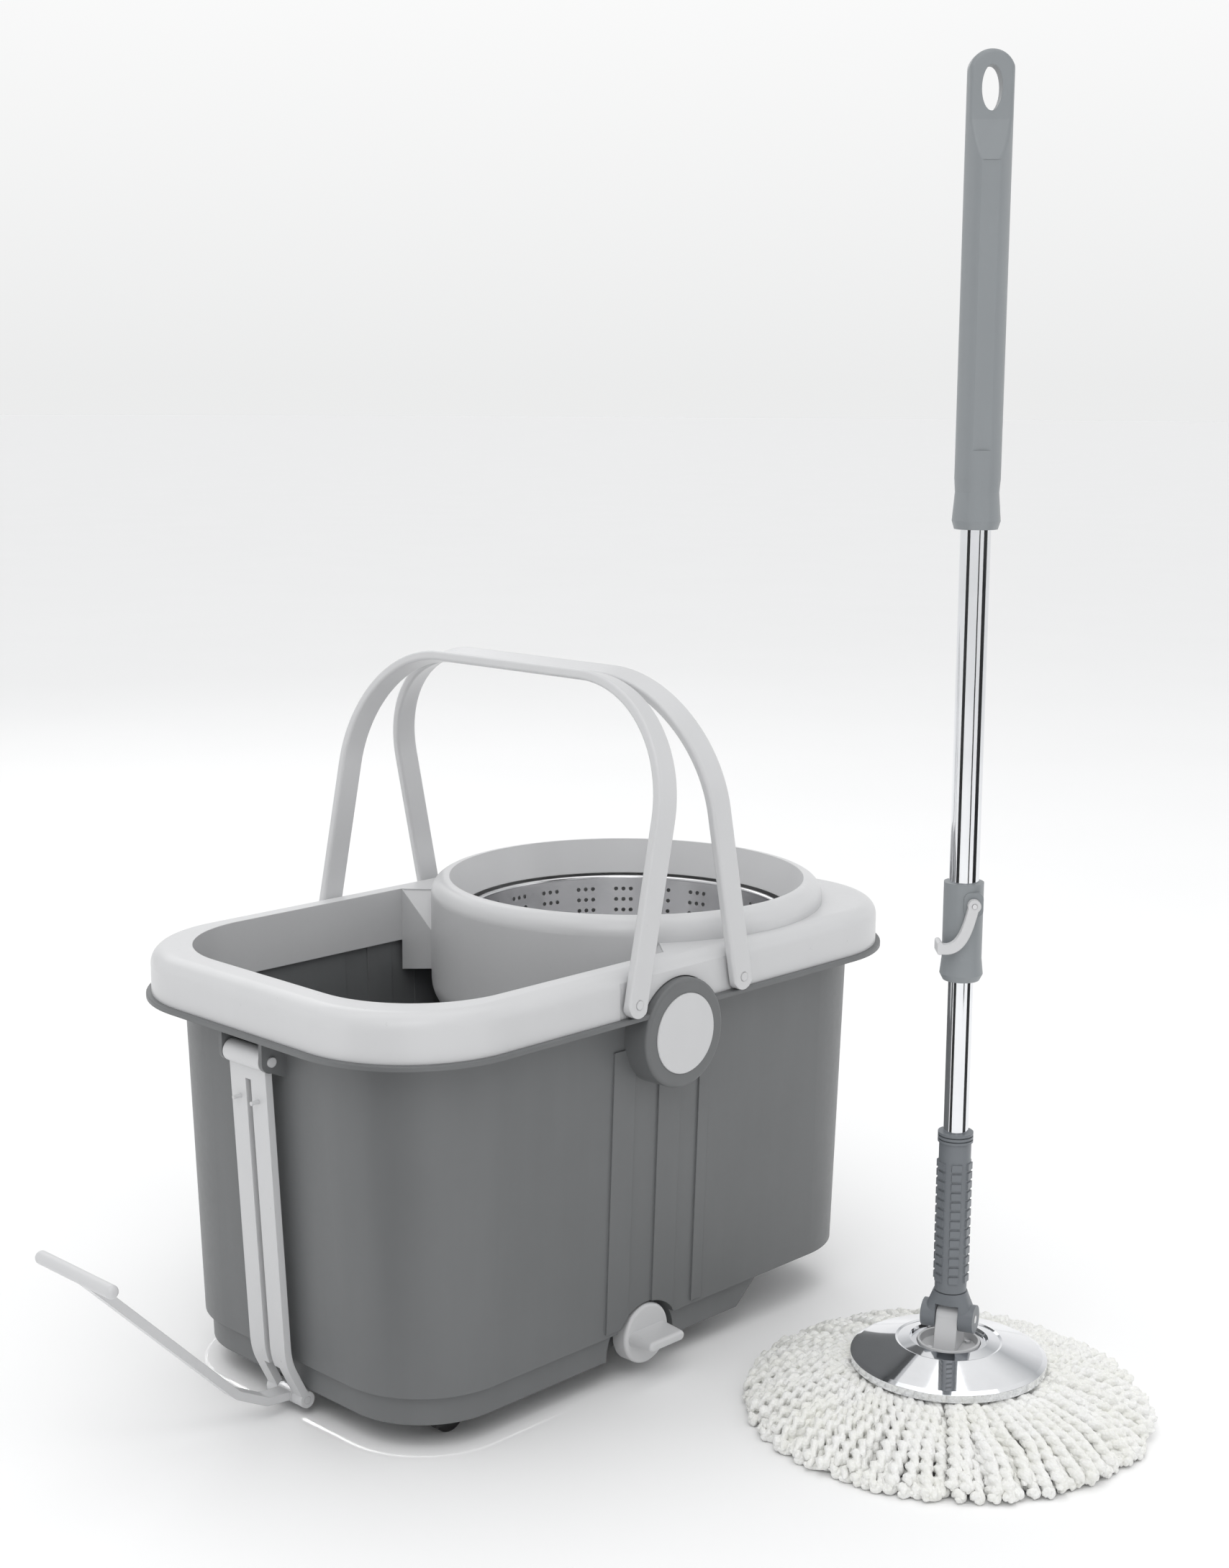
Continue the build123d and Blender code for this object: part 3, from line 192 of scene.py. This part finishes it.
def fibre(name, colour):
    """Looped microfibre: tiny tufts with painted shade, darker and creamier where they are deep between
    tufts, and a soft sheen.
    """
    material, tree, place = start_material(name)
    tufts = add(tree, "TexVoronoi", None, Vector=place, Scale=520.0, Randomness=1.0).outputs["Distance"]
    hairs = add(tree, "TexNoise", None, Vector=place, Scale=1900.0, Detail=3.0, Roughness=0.7).outputs["Fac"]
    patches = add(tree, "TexNoise", None, Vector=place, Scale=42.0, Detail=3.0, Roughness=0.6).outputs["Fac"]
    warm = (colour[0] * 0.96, colour[1] * 0.96, colour[2] * 0.93, 1)
    tint = ramp(tree, patches, [(0.3, warm), (0.62, shade(colour, 1.0))])
    # painted shade: the colour goes from white at the tuft tops to a darker grey-cream deep between the tufts
    painted_tuft_shade = ramp(tree, tufts, [(0.0, (1, 1, 1, 1)), (0.75, (0.93, 0.93, 0.91, 1))])
    base = add(tree, "Mix", {"data_type": "RGBA", "blend_type": "MULTIPLY"})
    base.inputs[0].default_value = 1.0
    tree.links.new(tint, base.inputs[6])
    tree.links.new(painted_tuft_shade, base.inputs[7])
    rough = spread(tree, hairs, 0.82, 0.98)
    coarse = add(tree, "Bump", {"invert": True}, Strength=0.55, Distance=1.0 * MM,
                 Height=tufts).outputs["Normal"]
    fuzzy = add(tree, "Bump", None, Strength=0.35, Distance=0.4 * MM, Height=hairs,
                Normal=coarse).outputs["Normal"]
    finish_material(tree, base.outputs[2], rough, fuzzy, Sheen_Weight=0.35, Sheen_Roughness=0.5)
    return material


def backdrop_material():
    material, tree, place = start_material("studio_floor")
    mottle = add(tree, "TexNoise", None, Vector=place, Scale=3.0, Detail=3.0).outputs["Fac"]
    base = ramp(tree, mottle, [(0.3, (0.955, 0.955, 0.955, 1)), (0.7, (0.965, 0.965, 0.965, 1))])
    fine = add(tree, "TexNoise", None, Vector=place, Scale=60.0, Detail=2.0).outputs["Fac"]
    bumped = add(tree, "Bump", None, Strength=0.02, Distance=1 * MM, Height=fine).outputs["Normal"]
    rough = spread(tree, mottle, 0.85, 0.95)
    finish_material(tree, base, rough, bumped)
    return material


FINISHES = {
    "grey_plastic": plastic("grey_polypropylene", (0.148, 0.153, 0.156), 0.42, grain=0.1, streak=0.05),
    "white_plastic": plastic("white_polypropylene", (0.61, 0.613, 0.62), 0.3, grain=0.04,
                             streak=0.012, edge=0.8),
    "sleeve_plastic": plastic("sleeve_plastic", (0.17, 0.184, 0.2), 0.38, grain=0.12, streak=0.05),
    "grip_plastic": plastic("grip_plastic", (0.25, 0.268, 0.28), 0.4, grain=0.16, streak=0.04,
                            bump_scale=1100),
    "dark_plastic": plastic("black_nylon", (0.012, 0.012, 0.013), 0.35, grain=0.12, streak=0.1),
    "stainless_steel": metal("brushed_stainless", (0.7, 0.7, 0.71), 0.2, brush=0.35),
    "chrome_plate": metal("polished_chrome", (0.84, 0.85, 0.87), 0.045, brush=0.03, smudge=0.05),
    "seal_rubber": plastic("black_rubber", (0.02, 0.02, 0.021), 0.7, grain=0.3, streak=0.15),
    "microfibre": fibre("white_microfibre", (0.97, 0.97, 0.965)),
}


def node_slots():
    """Material slot of each CAD node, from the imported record."""
    found = {}
    for entry in frame["record"]["subparts"]:
        slot = entry.get("material_slot") or entry.get("slot") or entry.get("material")
        for node in entry.get("nodes") or [entry.get("node") or entry.get("name")]:
            found[node] = slot
    return found


def paint_nodes():
    slots = node_slots()
    for name, item in frame["nodes"].items():
        item.data.materials.clear()
        item.data.materials.append(FINISHES[slots[name]])


# ---------------------------------------------------------------- mop strands

def skirt_top(radius):
    """Height of the strand ring's top surface at a distance from the pole, in metres."""
    places = (0.0, 72.5 * MM, 102 * MM, 124 * MM, 132 * MM)
    heights = (32 * MM, 32 * MM, 25 * MM, 14 * MM, 8.5 * MM)
    return np.interp(radius, places, heights)


def strand_line(random, turn, layer, reach):
    """Centreline of one strand, from under the cover out to its end, as points round the pole."""
    count = int((reach - STRAND_START) / RING_STEP)
    out = np.linspace(STRAND_START, reach, count)
    along = (out - STRAND_START) / (reach - STRAND_START)
    sway = 2.4 * MM * along * np.sin(along * random.uniform(2.5, 6.0) + random.uniform(0, 6.28))
    side = 1.1 * MM * along * np.sin(along * random.uniform(9, 15) + random.uniform(0, 6.28))
    angle = turn + (sway + side) / out
    lowest = PLY_RADIUS + PLY_OFFSET
    ripple = 0.9 * MM * np.sin(along * random.uniform(6, 12) + random.uniform(0, 6.28))
    height = skirt_top(out) - lowest - layer * LAYER_DROP + ripple
    height = np.maximum(height, lowest)
    return np.stack([out * np.cos(angle), out * np.sin(angle), height], axis=1)


def ply_mesh(random, line, phase, first):
    """One ply twisted round a strand's centreline, as ring vertices and faces."""
    ahead = np.gradient(line, axis=0)
    ahead /= np.linalg.norm(ahead, axis=1)[:, None]
    across = np.cross(ahead, (0, 0, 1))
    across /= np.linalg.norm(across, axis=1)[:, None]
    over = np.cross(across, ahead)
    travel = np.concatenate([[0], np.cumsum(np.linalg.norm(np.diff(line, axis=0), axis=1))])
    twist = travel / TWIST_PITCH * 2 * math.pi + phase
    centre = line + PLY_OFFSET * (np.cos(twist)[:, None] * across + np.sin(twist)[:, None] * over)
    lumps = 1 + LUMP_SIZE * np.sin(travel / TWIST_PITCH * 4 * math.pi + phase * 2)
    lumps = lumps + random.normal(0, LUMP_NOISE, len(line))
    left = (travel[-1] - travel) / (4 * MM)
    closing = np.sqrt(np.clip(1 - np.clip(1 - left, 0, 1) ** 2, 0.02, 1))
    turns = np.linspace(0, 2 * math.pi, PLY_SIDES, endpoint=False)
    wide = PLY_RADIUS * lumps * closing
    tuft = 1 + random.normal(0, TUFT_NOISE, (len(line), PLY_SIDES))
    ring = np.cos(turns)[None, :, None] * across[:, None, :] + np.sin(turns)[None, :, None] * over[:, None, :]
    points = centre[:, None, :] + ring * (wide[:, None] * tuft)[:, :, None]
    points[:, :, 2] = np.maximum(points[:, :, 2], 0.2 * MM)
    faces = []
    for row in range(len(line) - 1):
        for col in range(PLY_SIDES):
            nxt = (col + 1) % PLY_SIDES
            a = first + row * PLY_SIDES
            b = a + PLY_SIDES
            faces.append((a + col, a + nxt, b + nxt, b + col))
    last = first + (len(line) - 1) * PLY_SIDES
    faces.append(tuple(last + col for col in range(PLY_SIDES)))
    faces.append(tuple(first + col for col in reversed(range(PLY_SIDES))))
    return points.reshape(-1, 3), faces


def mop_strands():
    """The head's strands: two-ply cords in layers, fanned out from under the cover."""
    random = np.random.default_rng(SEED)
    low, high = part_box("strand_skirt")
    pole = Vector(((low.x + high.x) / 2, (low.y + high.y) / 2, 0))
    reach_most = (high.x - low.x) / 2
    points, faces, total = [], [], 0
    for layer, number in enumerate(STRAND_LAYERS):
        for index in range(number):
            turn = (index + 0.37 * layer + random.normal(0, 0.14)) * 2 * math.pi / number
            reach = reach_most - random.uniform(0, STRAND_SPREAD)
            line = strand_line(random, turn, layer, reach)
            start = random.uniform(0, 2 * math.pi)
            for phase in (start, start + math.pi):
                ply, ply_faces = ply_mesh(random, line, phase, total)
                points.append(ply)
                faces.extend(ply_faces)
                total += len(ply)
    mesh = bpy.data.meshes.new("mop_strands")
    mesh.from_pydata((np.concatenate(points) + np.array(pole)).tolist(), [], faces)
    mesh.polygons.foreach_set("use_smooth", [True] * len(mesh.polygons))
    mesh.materials.append(FINISHES["microfibre"])
    strands = bpy.data.objects.new("mop_strands", mesh)
    bpy.context.scene.collection.objects.link(strands)
    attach(strands, "mop_head")
    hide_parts("strand_skirt")


# ---------------------------------------------------------------- stage, light and camera

def floor():
    mesh = bpy.data.meshes.new("studio_floor")
    turns = [2 * math.pi * index / FLOOR_SIDES for index in range(FLOOR_SIDES)]
    ring = [(FLOOR_RADIUS * math.cos(turn), FLOOR_RADIUS * math.sin(turn), -FLOOR_DEPTH) for turn in turns]
    mesh.from_pydata(ring, [], [tuple(range(FLOOR_SIDES))])
    mesh.materials.append(backdrop_material())
    item = bpy.data.objects.new("studio_floor", mesh)
    bpy.context.scene.collection.objects.link(item)


def soft_box(name, place, target, width, height, power, spread_angle=180):
    lamp = bpy.data.lights.new(name, "AREA")
    lamp.shape = "RECTANGLE"
    lamp.size = width
    lamp.size_y = height
    lamp.energy = power
    lamp.spread = math.radians(spread_angle)
    item = bpy.data.objects.new(name, lamp)
    item.location = place
    item.visible_camera = False
    item.rotation_euler = (Vector(target) - Vector(place)).to_track_quat("-Z", "Y").to_euler()
    bpy.context.scene.collection.objects.link(item)


def overhead_sun(strength):
    lamp = bpy.data.lights.new("overhead", "SUN")
    lamp.energy = strength
    lamp.angle = math.radians(60)
    item = bpy.data.objects.new("overhead", lamp)
    bpy.context.scene.collection.objects.link(item)


def black_flag(name, turn, distance, width):
    """Dark card beside the mop that only reflections see, as a photographer darkens the edges of chrome."""
    low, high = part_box("lower_tube")
    middle = Vector(((low.x + high.x) / 2, (low.y + high.y) / 2, 0))
    outward = Vector((math.cos(math.radians(turn)), math.sin(math.radians(turn)), 0))
    across = Vector((-outward.y, outward.x, 0))
    foot = middle + outward * distance
    top = Vector((0, 0, FLAG_HEIGHT))
    corners = [foot - across * width / 2, foot + across * width / 2]
    corners += [corners[1] + top, corners[0] + top]
    mesh = bpy.data.meshes.new(name)
    mesh.from_pydata([tuple(corner) for corner in corners], [], [(0, 1, 2, 3)])
    mesh.materials.append(FINISHES["dark_plastic"])
    card = bpy.data.objects.new(name, mesh)
    bpy.context.scene.collection.objects.link(card)
    card.visible_camera = False
    card.visible_diffuse = False
    card.visible_shadow = False


def studio_world():
    """White all round, with grey and dark panels that only reflections and soft light see."""
    world = bpy.data.worlds.new("studio")
    world.use_nodes = True
    tree = world.node_tree
    tree.nodes.clear()
    direction = add(tree, "TexCoord").outputs["Generated"]
    parts = add(tree, "SeparateXYZ", None, Vector=direction)
    lift = spread(tree, parts.outputs["Z"], 0.0, 1.0)
    lift.node.inputs["From Min"].default_value = -1.0
    stops = [(0.0, (0.85, 0.85, 0.85, 1)), (0.5, (1, 1, 1, 1)), (0.66, (0.86, 0.86, 0.87, 1)),
             (0.76, (0.5, 0.51, 0.52, 1)), (0.86, (0.9, 0.9, 0.9, 1)), (1.0, (1, 1, 1, 1))]
    sky = ramp(tree, lift, stops)
    around = add(tree, "Math", {"operation": "ARCTAN2"}).outputs["Value"]
    tree.links.new(parts.outputs["Y"], around.node.inputs[0])
    tree.links.new(parts.outputs["X"], around.node.inputs[1])
    turn = spread(tree, around, 0.0, 1.0)
    turn.node.inputs["From Min"].default_value = -math.pi
    turn.node.inputs["From Max"].default_value = math.pi
    dark = (0.05, 0.052, 0.055, 1)
    grey = (0.5, 0.51, 0.52, 1)
    white = (1, 1, 1, 1)
    stops = [(0.0, white), (0.04, grey), (0.055, dark), (0.09, dark), (0.1, white), (0.17, white),
             (0.185, grey), (0.2, white), (0.3, white), (0.315, dark), (0.36, dark), (0.375, grey),
             (0.42, white), (0.7, white), (0.72, grey), (0.78, white), (1.0, white)]
    panels = ramp(tree, turn, stops)
    studio = add(tree, "Mix", {"data_type": "RGBA", "blend_type": "MULTIPLY"})
    studio.inputs[0].default_value = 1.0
    tree.links.new(sky, studio.inputs[6])
    tree.links.new(panels, studio.inputs[7])
    seen = add(tree, "LightPath").outputs["Is Camera Ray"]
    shown = add(tree, "Mix", {"data_type": "RGBA"})
    tree.links.new(seen, shown.inputs[0])
    tree.links.new(studio.outputs[2], shown.inputs[6])
    pale = ramp(tree, parts.outputs["Z"], [(0.0, (0.838, 0.842, 0.842, 1)), (0.22, (1, 1, 1, 1))])
    tree.links.new(pale, shown.inputs[7])
    sky = add(tree, "Background", None, Color=shown.outputs[2], Strength=1.0)
    output = add(tree, "OutputWorld")
    tree.links.new(sky.outputs["Background"], output.inputs["Surface"])
    bpy.context.scene.world = world


def add_camera():
    lens = bpy.data.cameras.new("camera")
    lens.lens = CAMERA_LENS
    lens.sensor_width = 36
    lens.clip_end = 100
    side = Vector((math.cos(CAMERA_TURN), math.sin(CAMERA_TURN), 0))
    level = math.cos(CAMERA_DIP)
    back = Vector((math.sin(CAMERA_TURN) * level, -math.cos(CAMERA_TURN) * level, math.sin(CAMERA_DIP)))
    up = back.cross(side)
    side = side * math.cos(CAMERA_ROLL) + up * math.sin(CAMERA_ROLL)
    up = back.cross(side)
    item = bpy.data.objects.new("camera", lens)
    item.matrix_world = Matrix.Translation(CAMERA_PLACE) @ Matrix((side, up, back)).transposed().to_4x4()
    bpy.context.scene.collection.objects.link(item)
    bpy.context.scene.camera = item


paint_nodes()
mop_strands()
floor()
studio_world()
soft_box("inside", (-0.14, 0, 0.7), (-0.14, 0, 0.0), 0.05, 0.1, 0.22, spread_angle=16)
soft_box("key", (-1.6, -1.2, 2.2), (0, -0.05, 0.2), 1.6, 1.6, 17)
soft_box("fill", (1.4, -2.0, 1.3), (0.05, -0.1, 0.25), 1.2, 1.8, 8)
soft_box("rim", (0.6, 2.2, 1.8), (0, 0, 0.25), 2.0, 1.0, 9)
overhead_sun(0.55)
black_flag("flag_right", -62, 0.45, 0.28)
black_flag("flag_left", 165, 0.45, 0.2)
black_flag("flag_front", -112, 1.0, 0.16)
add_camera()
bpy.context.scene.view_settings.view_transform = "Standard"
